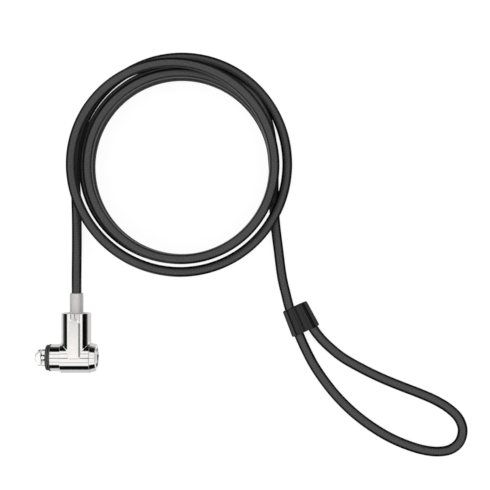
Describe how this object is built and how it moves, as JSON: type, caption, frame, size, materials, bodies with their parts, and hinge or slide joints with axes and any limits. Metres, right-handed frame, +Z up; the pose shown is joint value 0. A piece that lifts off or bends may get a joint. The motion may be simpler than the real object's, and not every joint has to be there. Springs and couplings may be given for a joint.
{
  "type": "laptop cable lock",
  "caption": "Laptop security lock with a T-bar head, tubular key cylinder and T-shaped chrome housing on a coiled black steel cable that ends in a crimped eye.",
  "frame": {"origin": "middle of the rubber bumper's front face, on the lock axis, where the lock meets the laptop", "axes": "-X into the laptop through the security slot, +X towards the key end, +Y along the stem towards the cable, +Z up from the surface that the lock lies on"},
  "size_m": [0.175, 0.1634, 0.018],
  "materials": {
    "satin_steel": "satin turned steel",
    "spring_steel": "plain ground steel",
    "wire_rope": "bare galvanised wire rope",
    "cable_vinyl": "glossy smoky black vinyl over wire rope",
    "sleeve_vinyl": "semi-gloss black moulded cover",
    "crimp_aluminium": "plain pressed aluminium",
    "chrome_housing": "bright polished chrome plate",
    "chrome_barrel": "bright polished chrome plate",
    "brass": "plain turned brass",
    "bumper_rubber": "matte charcoal rubber",
    "guard_steel": "smooth nickel-plated steel",
    "t_bar_steel": "smooth nickel-plated hardened steel"
  },
  "bodies": {
    "cable": {"cable_ferrule": "satin_steel", "swivel_washer": "spring_steel", "cable_core_end": "wire_rope", "cable_jacket_end": "cable_vinyl", "cable_lead": "cable_vinyl", "cable_coil": "cable_vinyl", "cable_tail": "cable_vinyl", "cable_eye": "cable_vinyl", "eye_sleeve": "sleeve_vinyl", "eye_crimp": "crimp_aluminium", "eye_strands": "wire_rope", "eye_jacket_ends": "cable_vinyl"},
    "housing": {"t_housing": "chrome_housing", "stem_bush": "brass", "bush_pin": "spring_steel"},
    "barrel": {"barrel_shell": "chrome_barrel", "bumper": "bumper_rubber", "guard_plate": "guard_steel", "guard_rivets": "spring_steel", "end_cap": "chrome_barrel", "socket_ring": "guard_steel", "stop_pin": "spring_steel", "thrust_washer": "brass", "pin_block": "brass", "block_pin": "spring_steel", "driver_pin_1": "brass", "driver_pin_2": "brass", "driver_pin_3": "brass", "driver_pin_4": "brass", "driver_pin_5": "brass", "driver_pin_6": "brass", "driver_pin_7": "brass", "pin_spring_1": "spring_steel", "pin_spring_2": "spring_steel", "pin_spring_3": "spring_steel", "pin_spring_4": "spring_steel", "pin_spring_5": "spring_steel", "pin_spring_6": "spring_steel", "pin_spring_7": "spring_steel"},
    "rotor": {"t_bar": "t_bar_steel", "stop_cam": "spring_steel", "key_rotor": "satin_steel", "cross_pin": "spring_steel", "key_pin_1": "brass", "key_pin_2": "brass", "key_pin_3": "brass", "key_pin_4": "brass", "key_pin_5": "brass", "key_pin_6": "brass", "key_pin_7": "brass"}
  },
  "joints": [
    {"name": "cable_swivel", "type": "hinge", "parent": "cable", "child": "housing", "pos_m": [0.01215, 0.0166, 0], "axis": [0, 1, 0], "continuous": true},
    {"name": "barrel_spin", "type": "hinge", "parent": "housing", "child": "barrel", "pos_m": [0.01215, 0, 0], "axis": [1, 0, 0], "continuous": true},
    {"name": "key_turn", "type": "hinge", "parent": "barrel", "child": "rotor", "pos_m": [0.0155, 0, 0], "axis": [1, 0, 0], "range_deg": [0, 90]}
  ]
}
